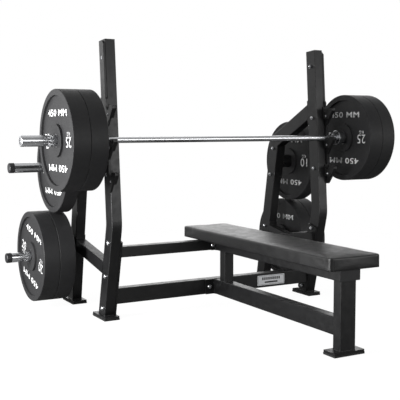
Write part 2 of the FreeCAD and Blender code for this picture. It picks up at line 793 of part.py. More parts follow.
def main():
    nodes = build_nodes()
    for name, shape in nodes.items():
        shape.exportStep("parts/" + name + ".step")
        volume = round(shape.Volume / 1000, 1)
        print(name, "solids", len(shape.Solids), "valid", shape.isValid(), "cm3", volume)
    print(len(nodes), "nodes")


main()
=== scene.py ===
import json
import math

import bmesh
import bpy
from mathutils import Matrix, Vector
from mathutils.bvhtree import BVHTree


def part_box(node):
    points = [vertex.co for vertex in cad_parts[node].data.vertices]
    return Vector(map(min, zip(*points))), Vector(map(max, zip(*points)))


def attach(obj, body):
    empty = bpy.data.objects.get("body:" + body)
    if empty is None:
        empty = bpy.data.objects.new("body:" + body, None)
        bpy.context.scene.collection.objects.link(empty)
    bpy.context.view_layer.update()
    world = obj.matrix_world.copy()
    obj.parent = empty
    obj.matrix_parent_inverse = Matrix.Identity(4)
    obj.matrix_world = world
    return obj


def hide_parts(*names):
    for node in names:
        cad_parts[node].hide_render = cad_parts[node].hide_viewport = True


# Looks of an olympic bench press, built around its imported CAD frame. Metres, +Z up, X along the bar.

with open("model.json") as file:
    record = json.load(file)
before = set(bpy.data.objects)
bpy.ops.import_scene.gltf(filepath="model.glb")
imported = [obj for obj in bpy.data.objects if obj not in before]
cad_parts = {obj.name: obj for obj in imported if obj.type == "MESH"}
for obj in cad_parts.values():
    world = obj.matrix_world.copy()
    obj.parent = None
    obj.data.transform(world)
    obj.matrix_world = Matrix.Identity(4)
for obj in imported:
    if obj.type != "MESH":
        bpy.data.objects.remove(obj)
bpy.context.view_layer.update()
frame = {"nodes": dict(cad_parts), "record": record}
nodes = frame["nodes"]
scene = bpy.context.scene
scene.view_settings.view_transform = "Standard"
scene.view_settings.look = "None"

SIDES = {"left": -1.0, "right": 1.0}
# The upholstery reaches a little past the plain solid it stands for.
PAD_PAST_LOW = Vector((0.0025, 0.001, 0))
PAD_PAST_HIGH = Vector((0.0065, 0.007, 0))
PAD_LOW, PAD_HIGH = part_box("bench_pad")
PAD_LOW -= PAD_PAST_LOW
PAD_HIGH += PAD_PAST_HIGH
BAR_LOW, BAR_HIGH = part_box("bar_shaft")
BAR_Y = (BAR_LOW.y + BAR_HIGH.y) / 2
BAR_Z = (BAR_LOW.z + BAR_HIGH.z) / 2


# ---------------------------------------------------------------- material helpers
class Shader:
    """A Principled material with short calls for the nodes that feed it."""

    def __init__(self, name, colour, rough, **settings):
        self.material = bpy.data.materials.new(name)
        self.material.use_nodes = True
        self.tree = self.material.node_tree
        self.bsdf = self.tree.nodes["Principled BSDF"]
        self.set_inputs(self.bsdf, {"Base Color": (*colour, 1.0), "Roughness": rough, **settings})
        coords = self.add("ShaderNodeTexCoord")
        self.place = coords.outputs["Object"]

    def add(self, kind, inputs=None, **settings):
        node = self.tree.nodes.new(kind)
        for key, value in settings.items():
            setattr(node, key, value)
        self.set_inputs(node, inputs or {})
        return node

    def set_inputs(self, node, inputs):
        for key, value in inputs.items():
            if isinstance(value, bpy.types.NodeSocket):
                self.tree.links.new(value, node.inputs[key])
            else:
                node.inputs[key].default_value = value

    def math(self, operation, first, second=0.0):
        return self.add("ShaderNodeMath", {0: first, 1: second}, operation=operation).outputs[0]

    def axis(self, name):
        """One coordinate of the surface point, in metres."""
        return self.add("ShaderNodeSeparateXYZ", {0: self.place}).outputs[name]

    def stretched(self, x, y, z):
        return self.add("ShaderNodeMapping", {"Vector": self.place, "Scale": (x, y, z)}).outputs[0]

    def noise(self, scale, detail=3.0, vector=None):
        inputs = {"Vector": vector or self.place, "Scale": scale, "Detail": detail, "Roughness": 0.55}
        return self.add("ShaderNodeTexNoise", inputs).outputs[0]

    def cells(self, scale, feature="F1", vector=None):
        inputs = {"Vector": vector or self.place, "Scale": scale}
        return self.add("ShaderNodeTexVoronoi", inputs, feature=feature).outputs["Distance"]

    def span(self, value, low, high, to_low, to_high):
        """Map a range of a value onto another, clamped."""
        inputs = {"Value": value, "From Min": low, "From Max": high, "To Min": to_low, "To Max": to_high}
        return self.add("ShaderNodeMapRange", inputs).outputs[0]

    def blend(self, factor, first, second):
        node = self.add("ShaderNodeMix", data_type="RGBA")
        colour = node.inputs[6], node.inputs[7]
        for socket, value in zip(colour, (first, second)):
            if isinstance(value, bpy.types.NodeSocket):
                self.tree.links.new(value, socket)
            else:
                socket.default_value = (*value, 1.0)
        self.tree.links.new(factor, node.inputs[0])
        return node.outputs[2]

    def relief(self, height, distance, strength=1.0, below=None):
        """Bump of a height field; below is the relief it lies on."""
        inputs = {"Height": height, "Distance": distance, "Strength": strength}
        if below is not None:
            inputs["Normal"] = below
        return self.add("ShaderNodeBump", inputs).outputs[0]

    def colour(self, socket):
        self.tree.links.new(socket, self.bsdf.inputs["Base Color"])

    def roughness(self, socket):
        self.tree.links.new(socket, self.bsdf.inputs["Roughness"])

    def normal(self, socket):
        self.tree.links.new(socket, self.bsdf.inputs["Normal"])


def powder_coat(name, dark, light):
    """Satin powder coat: fine orange peel, faint clouding and a few dull rubbed spots."""
    shader = Shader(name, dark, 0.4, **{"Specular IOR Level": 0.5})
    clouds = shader.span(shader.noise(5.0, 4.0), 0.35, 0.68, 0.0, 1.0)
    shader.colour(shader.blend(clouds, dark, light))
    rubbed = shader.span(shader.noise(38.0, 5.0), 0.42, 0.75, 0.34, 0.47)
    shader.roughness(rubbed)
    peel = shader.relief(shader.noise(620.0, 2.0), 0.00012, 0.35)
    grit = shader.relief(shader.noise(2100.0, 1.0), 0.00005, 0.25, peel)
    shader.normal(grit)
    return shader.material


def polished(name, tint, rough, grain=0.03):
    """Hard chrome with faint polishing marks around the axis, which lies along X."""
    shader = Shader(name, tint, rough, Metallic=1.0)
    marks = shader.noise(1.0, 2.0, shader.stretched(420.0, 3.0, 3.0))
    shader.roughness(shader.span(marks, 0.3, 0.7, rough, rough + grain))
    dulled = shader.span(shader.noise(9.0, 3.0), 0.45, 0.75, 0.0, 1.0)
    shader.colour(shader.blend(dulled, tint, tuple(0.93 * channel for channel in tint)))
    shader.normal(shader.relief(marks, 0.000004, 0.1))
    return shader.material


# Along the bar from its middle, in metres: where the knurling starts and ends, and the smooth ring mark.
KNURL_START, KNURL_END, RING_MARK = 0.204, 0.589, 0.455
# Knurl ridges: turns per metre of bar, as radians, and starts around it.
KNURL_PITCH, KNURL_STARTS = 2600.0, 36.0


def knurled_bar():
    """The bar: polished, with diamond knurling in bands along its grips."""
    shader = Shader("bar_chrome", (0.82, 0.83, 0.85), 0.1, Metallic=1.0)
    along = shader.math("ABSOLUTE", shader.axis("X"))
    inner = shader.span(along, KNURL_START - 0.001, KNURL_START + 0.001, 0.0, 1.0)
    outer = shader.span(along, KNURL_END - 0.001, KNURL_END + 0.001, 1.0, 0.0)
    mark_gap = shader.math("ABSOLUTE", shader.math("SUBTRACT", along, RING_MARK))
    ring_mark = shader.span(mark_gap, 0.0028, 0.0032, 0.0, 1.0)
    band = shader.math("MULTIPLY", shader.math("MULTIPLY", inner, outer), ring_mark)
    height = shader.math("SUBTRACT", shader.axis("Z"), BAR_Z)
    depth = shader.math("SUBTRACT", shader.axis("Y"), BAR_Y)
    turn = shader.math("ARCTAN2", height, depth)
    ridges = []
    for sense in (1.0, -1.0):
        helix = shader.math("ADD", shader.math("MULTIPLY", shader.axis("X"), KNURL_PITCH),
                            shader.math("MULTIPLY", turn, KNURL_STARTS * sense))
        ridges.append(shader.math("ABSOLUTE", shader.math("SINE", helix)))
    diamonds = shader.math("MULTIPLY", shader.math("MULTIPLY", *ridges), band)
    shader.roughness(shader.span(band, 0.0, 1.0, 0.14, 0.24))
    shader.normal(shader.relief(diamonds, 0.00012, 0.3))
    return shader.material


def zinc(name):
    """Bright zinc plate with fine mottling."""
    shader = Shader(name, (0.8, 0.81, 0.83), 0.22, Metallic=1.0)
    spangle = shader.cells(420.0)
    shader.roughness(shader.span(spangle, 0.1, 0.7, 0.16, 0.3))
    shader.colour(shader.blend(shader.noise(160.0, 2.0), (0.72, 0.74, 0.77), (0.88, 0.88, 0.9)))
    shader.normal(shader.relief(shader.noise(900.0, 2.0), 0.00003, 0.3))
    return shader.material


def turned_metal(name, tint, rough):
    """Machined metal with lathe rings along X."""
    shader = Shader(name, tint, rough, Metallic=1.0)
    rings = shader.noise(1.0, 2.0, shader.stretched(3500.0, 6.0, 6.0))
    shader.roughness(shader.span(rings, 0.3, 0.7, rough - 0.06, rough + 0.08))
    shader.colour(shader.blend(shader.noise(60.0, 3.0), tint, tuple(0.75 * channel for channel in tint)))
    shader.normal(shader.relief(rings, 0.00003, 0.4))
    return shader.material


def plate_rubber():
    """Pressed crumb rubber: tight grain and scattered paler crumbs."""
    shader = Shader("bumper_rubber", (0.022, 0.022, 0.023), 0.55, **{"Specular IOR Level": 0.32})
    crumb = shader.cells(300.0)
    flecks = shader.span(crumb, 0.08, 0.24, 1.0, 0.0)
    scatter = shader.span(shader.noise(70.0, 4.0), 0.5, 0.66, 0.0, 1.0)
    fleck = shader.math("MULTIPLY", flecks, scatter)
    clouds = shader.span(shader.noise(7.0, 4.0), 0.3, 0.7, 0.0, 1.0)
    ground = shader.blend(clouds, (0.019, 0.019, 0.02), (0.027, 0.027, 0.028))
    shader.colour(shader.blend(shader.math("MULTIPLY", fleck, 0.6), ground, (0.07, 0.07, 0.073)))
    shader.roughness(shader.span(shader.noise(180.0, 3.0), 0.35, 0.7, 0.46, 0.62))
    grain = shader.relief(shader.noise(430.0, 3.0), 0.0005, 0.45)
    pits = shader.relief(crumb, 0.0004, 0.3, grain)
    shader.normal(pits)
    return shader.material


def moulded(name, tint, rough, scale=500.0, depth=0.0001):
    """Moulded plastic or rubber with a fine spark texture."""
    shader = Shader(name, tint, rough)
    paler = tuple(1.7 * channel for channel in tint)
    shader.colour(shader.blend(shader.noise(45.0, 4.0), tint, paler))
    shader.roughness(shader.span(shader.noise(scale, 2.0), 0.3, 0.7, rough - 0.08, rough + 0.08))
    shader.normal(shader.relief(shader.noise(scale, 3.0), depth, 0.5))
    return shader.material


def vinyl():
    """Black upholstery vinyl: pebbled leather grain with softer creases between the pebbles, and painted shade
    that darkens the colour in the creases.
    """
    shader = Shader("pad_vinyl", (0.01, 0.01, 0.0105), 0.36, **{"Specular IOR Level": 0.5})
    wobble = shader.add("ShaderNodeTexNoise", {"Vector": shader.place, "Scale": 90.0, "Detail": 2.0})
    bent = shader.add("ShaderNodeMix", data_type="VECTOR")
    bent.inputs[0].default_value = 0.008
    shader.tree.links.new(shader.place, bent.inputs[4])
    shader.tree.links.new(wobble.outputs["Color"], bent.inputs[5])
    pebble = shader.cells(520.0, "DISTANCE_TO_EDGE", bent.outputs[1])
    crease_relief_and_shade = shader.span(pebble, 0.0, 0.16, 0.0, 1.0)
    clouds = shader.span(shader.noise(6.0, 3.0), 0.3, 0.7, 0.0, 1.0)
    ground = shader.blend(clouds, (0.008, 0.008, 0.0085), (0.012, 0.012, 0.0125))
    # Painted shade: the colour goes darker in the creases between the pebbles.
    shader.colour(shader.blend(crease_relief_and_shade, (0.005, 0.005, 0.005), ground))
    shader.roughness(shader.span(shader.noise(28.0, 4.0), 0.35, 0.7, 0.33, 0.43))
    shader.normal(shader.relief(crease_relief_and_shade, 0.00011, 0.55, shader.relief(shader.noise(60.0), 0.0004, 0.12)))
    return shader.material


def plywood():
    """Plies seen at the edge and grain along the board."""
    shader = Shader("plywood", (0.42, 0.3, 0.18), 0.6)
    grain = shader.noise(1.0, 5.0, shader.stretched(140.0, 6.0, 140.0))
    plies = shader.math("SINE", shader.math("MULTIPLY", shader.axis("Z"), 3140.0))
    tone = shader.blend(grain, (0.3, 0.2, 0.11), (0.52, 0.39, 0.25))
    shader.colour(shader.blend(shader.span(plies, -0.2, 0.6, 0.0, 0.5), tone, (0.24, 0.16, 0.09)))
    shader.normal(shader.relief(grain, 0.0002, 0.4))
    return shader.material


def brushed_plate():
    """Brushed silver label stock."""
    shader = Shader("brushed_silver", (0.8, 0.81, 0.83), 0.5, Metallic=0.9)
    streaks = shader.noise(1.0, 3.0, shader.stretched(25.0, 25.0, 2600.0))
    shader.colour(shader.blend(streaks, (0.72, 0.73, 0.75), (0.9, 0.91, 0.93)))
    shader.roughness(shader.span(streaks, 0.3, 0.7, 0.44, 0.56))
    shader.normal(shader.relief(streaks, 0.00003, 0.4))
    return shader.material


def mark_paint():
    """White transfer paint, slightly worn by the grain under it."""
    shader = Shader("mark_paint", (0.82, 0.82, 0.82), 0.5)
    worn = shader.span(shader.noise(420.0, 3.0), 0.6, 0.74, 0.0, 0.5)
    shader.colour(shader.blend(worn, (0.84, 0.84, 0.84), (0.3, 0.3, 0.3)))
    shader.normal(shader.relief(shader.noise(430.0, 3.0), 0.0004, 0.3))
    return shader.material


COAT = powder_coat("frame_paint", (0.006, 0.006, 0.0065), (0.01, 0.01, 0.0105))
LOOKS = {
    "frame_paint": COAT,
    "foot_rubber": moulded("foot_rubber", (0.012, 0.012, 0.012), 0.7, 260.0, 0.0003),
    "plywood": plywood(),
    "cap_plastic": moulded("cap_plastic", (0.011, 0.011, 0.012), 0.42),
    "plate_metal": brushed_plate(),
    "liner_plastic": moulded("liner_plastic", (0.006, 0.006, 0.006), 0.5),
    "bright_fastener": zinc("bright_zinc"),
    "chrome_steel": polished("hard_chrome", (0.8, 0.81, 0.83), 0.19),
    "bronze": turned_metal("bronze", (0.55, 0.34, 0.14), 0.3),
    "bumper_rubber": plate_rubber(),
    "hub_steel": turned_metal("hub_steel", (0.2, 0.2, 0.21), 0.36),
    "pad_vinyl": vinyl(),
}
for entry in frame["record"]["subparts"]:
    mesh = nodes[entry["node"]].data
    mesh.materials.clear()
    mesh.materials.append(LOOKS[entry["material_slot"]])
nodes["bar_shaft"].data.materials[0] = knurled_bar()


# ---------------------------------------------------------------- mesh helpers
def linked(name, mesh, material, body):
    """Show a mesh as a piece that rides on a body."""
    piece = bpy.data.objects.new(name, mesh)
    scene.collection.objects.link(piece)
    mesh.materials.clear()
    mesh.materials.append(material)
    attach(piece, body)
    return piece


def smooth(mesh):
    for face in mesh.polygons:
        face.use_smooth = True


# ---------------------------------------------------------------- marks on the plates
def lettering(body, height, width, bold):
    """A mesh of plain letters centred on the origin, in the XY plane, stretched to a height and width."""
    curve = bpy.data.curves.new("letters", "FONT")
    curve.body = body
    curve.size = 1.0
    curve.offset = bold
    curve.space_character = 1.06
    curve.resolution_u = 3
    holder = bpy.data.objects.new("letters", curve)
    scene.collection.objects.link(holder)
    bpy.context.view_layer.update()
    mesh = bpy.data.meshes.new_from_object(holder.evaluated_get(bpy.context.evaluated_depsgraph_get()))
    bpy.data.objects.remove(holder)
    bpy.data.curves.remove(curve)
    xs = [vertex.co.x for vertex in mesh.vertices]
    ys = [vertex.co.y for vertex in mesh.vertices]
    tall = height / (max(ys) - min(ys))
    wide = width / (max(xs) - min(xs))
    centre = Vector(((max(xs) + min(xs)) / 2, (max(ys) + min(ys)) / 2, 0))
    mesh.transform(Matrix.Diagonal((wide, tall, 1, 1)) @ Matrix.Translation(-centre))
    return mesh


MARK_LIFT = 0.0003
WORD = "450 MM"
# Each kind of mark: height, width and boldness of its letters, then its place on the face across and up.
WORD_SIZE, WORD_PLACE = (0.030, 0.238, 0.012), (0, 0.121)
FIGURE_SIZE, FIGURE_PLACE = (0.046, 0.062, 0.0), (-0.139, 0.005)
UNIT_SIZE, UNIT_PLACE = (0.015, 0.034, 0.0), (-0.139, -0.030)


def face_marks(target, number, x, centre, outward, turn=0.0):
    """Add one face's marks to a bmesh: a word above and below, the mass to the left and right."""
    word = lettering(WORD, *WORD_SIZE)
    figure = lettering(number, *FIGURE_SIZE)
    unit = lettering("KG", *UNIT_SIZE)
    placings = [(word, WORD_PLACE, 0), (word, WORD_PLACE, 180)]
    for half_turn in (0, 180):
        placings.append((figure, FIGURE_PLACE, half_turn))
        placings.append((unit, UNIT_PLACE, half_turn))
    across = Vector((0, outward, 0))
    up = Vector((0, 0, 1))
    normal = Vector((outward, 0, 0))
    basis = Matrix((across, up, normal)).transposed().to_4x4()
    for mesh, (along, rise), half_turn in placings:
        copy = mesh.copy()
        spin = Matrix.Rotation(math.radians(half_turn + turn), 4, "Z")
        copy.transform(Matrix.Translation(Vector((x + outward * MARK_LIFT, *centre))) @ basis @ spin
                       @ Matrix.Translation(Vector((along, rise, 0))))
        target.from_mesh(copy)
        bpy.data.meshes.remove(copy)
    for mesh in (word, figure, unit):
        bpy.data.meshes.remove(mesh)


# Depth of a plate's face inside its rim.
FACE_RECESS = 0.010
PLATES = {"inner_bar": "25", "outer_bar": "25", "upper_stored": "10",
          "lower_inner_stored": "20", "lower_outer_stored": "20"}
# Plates that hang turned, in degrees.
TURNED_PLATES = {"left_lower_outer_stored": -15.0}
PAINT = mark_paint()
for side, sign in SIDES.items():
    for plate, number in PLATES.items():
        name = f"{side}_{plate}"
        low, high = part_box(name + "_plate")
        centre = ((low.y + high.y) / 2, (low.z + high.z) / 2)
        marks = bmesh.new()
        for outward, x in ((-1, low.x + FACE_RECESS), (1, high.x - FACE_RECESS)):
            turn = TURNED_PLATES.get(name, 0.0) * (1 if outward == -1 else -1)
            face_marks(marks, number, x, centre, outward, turn)
        mesh = bpy.data.meshes.new(name + "_marks")
        marks.to_mesh(mesh)
        marks.free()
        linked(name + "_marks", mesh, PAINT, name + "_weight")


# ---------------------------------------------------------------- bench pad
PAD_CORNER = 0.018
PAD_EDGE = 0.005
PAD_CROWN, PAD_DRAW = 0.0014, 0.0008
PAD_VOXEL = 0.0045
# Before the cloth swells: how much smaller the form is, and the part of its movement and the most that is kept.
PAD_SHRINK = 0.0022
PAD_GIVE = 0.15
PAD_SWELL = 0.0025
CLOTH_FRAMES = 20
PAD_BASE = 0.0003
WELT_R, WELT_SINK, WELT_POINTS, WELT_PITCH = 0.0008, 0.0003, 16, 0.003
STITCH_AWAY, STITCH_SINK, STITCH_COUNT, STITCH_PITCH = 0.0028, 0.0002, 9, 0.005
STITCH_REACH = Vector((0, 0, 0.0017))
STITCH_RADII = [0.00015, 0.00045, 0.00045, 0.00015]
PAD_MIDDLE = (PAD_LOW + PAD_HIGH) / 2
PAD_HALF = (PAD_HIGH - PAD_LOW) / 2


def rounded_outline(half_x, half_y, radius, steps):
    """Points around a rounded rectangle about the origin, anticlockwise, as (x, y, outward angle)."""
    points = []
    corners = ((1, 1, 0), (-1, 1, 90), (-1, -1, 180), (1, -1, 270))
    for side_x, side_y, first in corners:
        for step in range(steps + 1):
            angle = math.radians(first + 90 * step / steps)
            points.append((side_x * (half_x - radius) + radius * math.cos(angle),
                           side_y * (half_y - radius) + radius * math.sin(angle), angle))
    return points


def pad_form(shrink):
    """A closed pad shape with a rolled upper edge, a little smaller than the finished pad."""
    build = bmesh.new()
    layers = [(PAD_LOW.z + 0.0004, 0.0)]
    for step in range(6):
        angle = math.radians(90 * step / 5)
        layers.append((PAD_HIGH.z - shrink - PAD_EDGE + PAD_EDGE * math.sin(angle),
                       PAD_EDGE * (1 - math.cos(angle))))
    rings = []
    for z, inset in layers:
        outline = rounded_outline(PAD_HALF.x - shrink - inset, PAD_HALF.y - shrink - inset,
                                  PAD_CORNER - inset, 8)
        rings.append([build.verts.new((PAD_MIDDLE.x + x, PAD_MIDDLE.y + y, z)) for x, y, _ in outline])
    for low, high in zip(rings, rings[1:]):
        for k, start in enumerate(low):
            after = (k + 1) % len(low)
            build.faces.new((start, low[after], high[after], high[k]))
    build.faces.new(list(reversed(rings[0])))
    build.faces.new(rings[-1])
    mesh = bpy.data.meshes.new("pad_form")
    build.to_mesh(mesh)
    build.free()
    return mesh


def applied(piece):
    """Replace a piece's mesh by what its modifiers make of it."""
    bpy.context.view_layer.update()
    graph = bpy.context.evaluated_depsgraph_get()
    mesh = bpy.data.meshes.new_from_object(piece.evaluated_get(graph))
    piece.modifiers.clear()
    old = piece.data
    piece.data = mesh
    bpy.data.meshes.remove(old)
    return mesh


def inflated(piece):
    """Swell the pad with cloth pressure, its underside held; firm foam lets a point move only a little."""
    rest = [vertex.co.copy() for vertex in piece.data.vertices]
    held = piece.vertex_groups.new(name="held")
    base = [vertex.index for vertex in piece.data.vertices if vertex.co.z < PAD_LOW.z + 0.006]
    held.add(base, 1.0, "REPLACE")
    cloth = piece.modifiers.new("cloth", "CLOTH")
    cloth.settings.quality = 5
    cloth.settings.mass = 0.3
    cloth.settings.tension_stiffness = 40
    cloth.settings.compression_stiffness = 40
    cloth.settings.shear_stiffness = 20
    cloth.settings.bending_stiffness = 4
    cloth.settings.use_pressure = True
    cloth.settings.uniform_pressure_force = 4.0
    cloth.settings.vertex_group_mass = "held"
    cloth.settings.effector_weights.gravity = 0.0
    cloth.point_cache.frame_start = 1
    cloth.point_cache.frame_end = CLOTH_FRAMES
    for step in range(1, CLOTH_FRAMES + 1):
        scene.frame_set(step)
    mesh = applied(piece)
    scene.frame_set(1)
    for vertex, start in zip(mesh.vertices, rest):
        moved = vertex.co - start
        vertex.co = start + moved.normalized() * min(moved.length * PAD_GIVE, PAD_SWELL)
    return mesh


def fitted(mesh):
    """Stretch the pad to the size of the solid it stands for, with its underside flat on the board's level."""
    for axis in range(3):
        values = [vertex.co[axis] for vertex in mesh.vertices]
        low, high = min(values), max(values)
        scale = (PAD_HIGH[axis] - PAD_LOW[axis]) / (high - low)
        for vertex in mesh.vertices:
            vertex.co[axis] = PAD_LOW[axis] + (vertex.co[axis] - low) * scale
    for vertex in mesh.vertices:
        if vertex.co.z < PAD_LOW.z + 0.003:
            vertex.co.z = PAD_LOW.z + PAD_BASE


def pad_relief(mesh):
    """Crown the top and draw the sides in a little between the corners."""
    for vertex in mesh.vertices:
        place = vertex.co
        across = (place.x - PAD_MIDDLE.x) / PAD_HALF.x
        along = (place.y - PAD_MIDDLE.y) / PAD_HALF.y
        height = (place.z - PAD_LOW.z) / (PAD_HIGH.z - PAD_LOW.z)
        if height > 0.6:
            place.z += PAD_CROWN * (1 - across ** 2) * (1 - along ** 8) * (height - 0.6) / 0.4
        draw = PAD_DRAW * math.sin(math.pi * min(max(height, 0.0), 1.0))
        place.x -= draw * across * max(0.0, 1 - abs(along) ** 16)
        place.y -= draw * along * max(0.0, 1 - abs(across) ** 6)


def tube_along(build, points, radii, normals, sides=6):
    """Sweep a closed-ended round tube along points, each ring square to the path and up its normal."""
    rings = []
    for index, (place, radius, normal) in enumerate(zip(points, radii, normals)):
        ahead = points[min(index + 1, len(points) - 1)] - points[max(index - 1, 0)]
        across = ahead.cross(normal).normalized()
        rings.append([build.verts.new(place + (across * math.cos(turn) + normal * math.sin(turn)) * radius)
                      for turn in (2 * math.pi * k / sides for k in range(sides))])
    for low, high in zip(rings, rings[1:]):
        for k in range(sides):
            after = (k + 1) % sides
            build.faces.new((low[k], low[after], high[after], high[k]))
    build.faces.new(list(reversed(rings[0])))
    build.faces.new(rings[-1])


def corner_seams(surface):
    """A sewn welt down both ends of each rounded corner, coloured darker than the vinyl as painted shade, with a
    row of stitches beside it.
    """
    tree = BVHTree.FromPolygons([vertex.co for vertex in surface.vertices],
                                [face.vertices[:] for face in surface.polygons])
    welts, stitches = bmesh.new(), bmesh.new()
    steps = 8
    outline = rounded_outline(PAD_HALF.x, PAD_HALF.y, PAD_CORNER, steps)

    def skin(x, y, z, sunk):
        place, normal, _, _ = tree.find_nearest(Vector((PAD_MIDDLE.x + x, PAD_MIDDLE.y + y, z)))
        return place - normal * sunk, normal

    for corner in range(4):
        for step, away in ((0, -1.0), (steps, 1.0)):
            x, y, angle = outline[corner * (steps + 1) + step]
            along = Vector((-math.sin(angle), math.cos(angle), 0)) * away
            heights = [PAD_LOW.z + 0.002 + WELT_PITCH * k for k in range(WELT_POINTS)]
            places = [skin(x, y, z, WELT_SINK) for z in heights]
            tube_along(welts, [place for place, _ in places], [WELT_R] * len(places),
                       [normal for _, normal in places])
            for k in range(STITCH_COUNT):
                z = PAD_LOW.z + 0.005 + STITCH_PITCH * k
                side = along * STITCH_AWAY
                place, normal = skin(x + side.x, y + side.y, z, STITCH_SINK)
                path = [place + STITCH_REACH * reach for reach in (-1.0, -0.6, 0.6, 1.0)]
                tube_along(stitches, path, STITCH_RADII, [normal] * len(path))
    # The welt colour is darker than the vinyl: painted shade for the dark line along each rounded corner.
    for build, name, material in ((welts, "bench_pad_welts", moulded("pad_welt", (0.004, 0.004, 0.004), 0.7)),
                                  (stitches, "bench_pad_stitches", thread("pad_thread"))):
        mesh = bpy.data.meshes.new(name)
        build.to_mesh(mesh)
        build.free()
        smooth(mesh)
        linked(name, mesh, material, "frame")


def thread(name):
    """Dark bonded thread with a fine twist, its colour painted darker in the twist's grooves and lighter on its
    ridges as shade and highlight.
    """
    shader = Shader(name, (0.03, 0.03, 0.032), 0.55)
    twist = shader.math("SINE", shader.math("MULTIPLY", shader.axis("Z"), 9000.0))
    # Painted shade and highlight: darker in the grooves of the twist, lighter on its ridges.
    shader.colour(shader.blend(shader.span(twist, -1.0, 1.0, 0.0, 1.0), (0.022, 0.022, 0.023),
                               (0.05, 0.05, 0.052)))
    shader.normal(shader.relief(twist, 0.0001, 0.5))
    return shader.material


pad = linked("bench_pad_upholstery", pad_form(PAD_SHRINK), LOOKS["pad_vinyl"], "frame")
remesh = pad.modifiers.new("remesh", "REMESH")
remesh.mode = "VOXEL"
remesh.voxel_size = PAD_VOXEL
applied(pad)
inflated(pad)
fitted(pad.data)
pad_relief(pad.data)
subdivide = pad.modifiers.new("subdivide", "SUBSURF")
subdivide.levels = 1
subdivide.render_levels = 1
smooth(applied(pad))
pad.data.materials.clear()
pad.data.materials.append(LOOKS["pad_vinyl"])
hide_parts("bench_pad")
corner_seams(pad.data)


# ---------------------------------------------------------------- weld beads
BEAD_R, BEAD_STEP, BEAD_SIDES = 0.0024, 0.0018, 8
BEAD_CORNER = 0.004
# Reach of the search for a tube's outline, to each side of the plane it meets.
OUTLINE_REACH = 0.0015


def near_plane(node, axis, value):
    """Middle and half sizes, over the two other axes, of a node's outline at a plane across one axis."""
    mesh = nodes[node].data
    matrix = nodes[node].matrix_world
    others = [other for other in range(3) if other != axis]
    places = [matrix @ vertex.co for vertex in mesh.vertices]
    places = [place for place in places if abs(place[axis] - value) < OUTLINE_REACH]
    spans = [(min(place[other] for place in places), max(place[other] for place in places)) for other in others]
    return [(low + high) / 2 for low, high in spans], [(high - low) / 2 for low, high in spans]


def bead(build, loop, normal):
    """A closed weld bead along a loop of points: overlapping ripples, fuller in the middle of each."""
    dense = []
    for start, end in zip(loop, loop[1:] + loop[:1]):
        count = max(1, round((end - start).length / BEAD_STEP))
        dense += [start.lerp(end, k / count) for k in range(count)]
    rings = []
    for index, place in enumerate(dense):
        ahead = dense[(index + 1) % len(dense)] - dense[index - 1]
        across = ahead.cross(normal).normalized()
        full = BEAD_R * (0.86 + 0.14 * abs(math.sin(index * 0.9)) + 0.05 * math.sin(index * 0.37))
        rings.append([build.verts.new(place + (across * math.cos(turn) + normal * math.sin(turn)) * full)
                      for turn in (2 * math.pi * k / BEAD_SIDES for k in range(BEAD_SIDES))])
    for low, high in zip(rings, rings[1:] + rings[:1]):
        for k in range(BEAD_SIDES):
            after = (k + 1) % BEAD_SIDES
            build.faces.new((low[k], low[after], high[after], high[k]))


def box_bead(build, node, axis, value):
    """A bead around a tube where it meets a plane across one axis."""
    middle, half = near_plane(node, axis, value)
    others = [other for other in range(3) if other != axis]
    loop = []
    for u, v, _ in rounded_outline(half[0], half[1], BEAD_CORNER, 3):
        place = Vector((0, 0, 0))
        place[axis] = value
        place[others[0]] = middle[0] + u
        place[others[1]] = middle[1] + v
        loop.append(place)
    normal = Vector((0, 0, 0))
    normal[axis] = 1.0
    bead(build, loop, normal)


welds = bmesh.new()
FOOT_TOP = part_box("foot_plates")[1].z
for side, sign in SIDES.items():
    box_bead(welds, f"{side}_front_upright", 2, FOOT_TOP)
    box_bead(welds, f"{side}_rear_post", 2, FOOT_TOP)
for node in ("bench_foot_leg", "bench_head_leg"):
    low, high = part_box(node)
    box_bead(welds, node, 2, low.z)
    box_bead(welds, node, 2, high.z)
low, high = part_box("bench_lower_rail")
box_bead(welds, "bench_lower_rail", 1, low.y)
box_bead(welds, "bench_lower_rail", 1, high.y)
box_bead(welds, "pad_support_rail", 1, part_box("pad_support_rail")[1].y)
for node in ("lower_cross_member", "upper_cross_member"):
    low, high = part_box(node)
    box_bead(welds, node, 0, low.x)
    box_bead(welds, node, 0, high.x)
# Where the spacer collars of the storage pegs stand on their brackets, and their radius.
BRACKET_FACE = 0.621
COLLAR_R = 0.036
for side, sign in SIDES.items():
    for plate in ("upper_stored", "lower_inner_stored"):
        low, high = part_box(f"{side}_{plate}_plate")
        centre = Vector((sign * BRACKET_FACE, (low.y + high.y) / 2, (low.z + high.z) / 2))
        turns = [2 * math.pi * k / 64 for k in range(64)]
        loop = [centre + Vector((0, math.cos(turn), math.sin(turn))) * COLLAR_R for turn in turns]
        bead(welds, loop, Vector((1, 0, 0)))
weld_mesh = bpy.data.meshes.new("weld_beads")
welds.to_mesh(weld_mesh)
welds.free()
smooth(weld_mesh)
linked("weld_beads", weld_mesh, COAT, "frame")


# ---------------------------------------------------------------- name plate detail
def dark_print():
    """Black screen print, slightly uneven."""
    shader = Shader("plate_print", (0.02, 0.02, 0.02), 0.5)
    shader.colour(shader.blend(shader.noise(300.0, 3.0), (0.014, 0.014, 0.014), (0.035, 0.035, 0.035)))
    shader.normal(shader.relief(shader.noise(800.0, 2.0), 0.00003, 0.3))
    return shader.material


PRINT_LIFT = 0.0002
BORDER_INSET, BORDER_W = 0.004, 0.0011
# The row of small blocks: left end, pitch and width of each, bottom and top; then the bar under it, half width.
BLOCKS, BLOCK_LEFT, BLOCK_PITCH, BLOCK_W, BLOCK_HEIGHTS = 9, -0.056, 0.0128, 0.0086, (0.0015, 0.0155)
BAR_HALF, BAR_HEIGHTS = 0.040, (-0.0145, -0.0065)


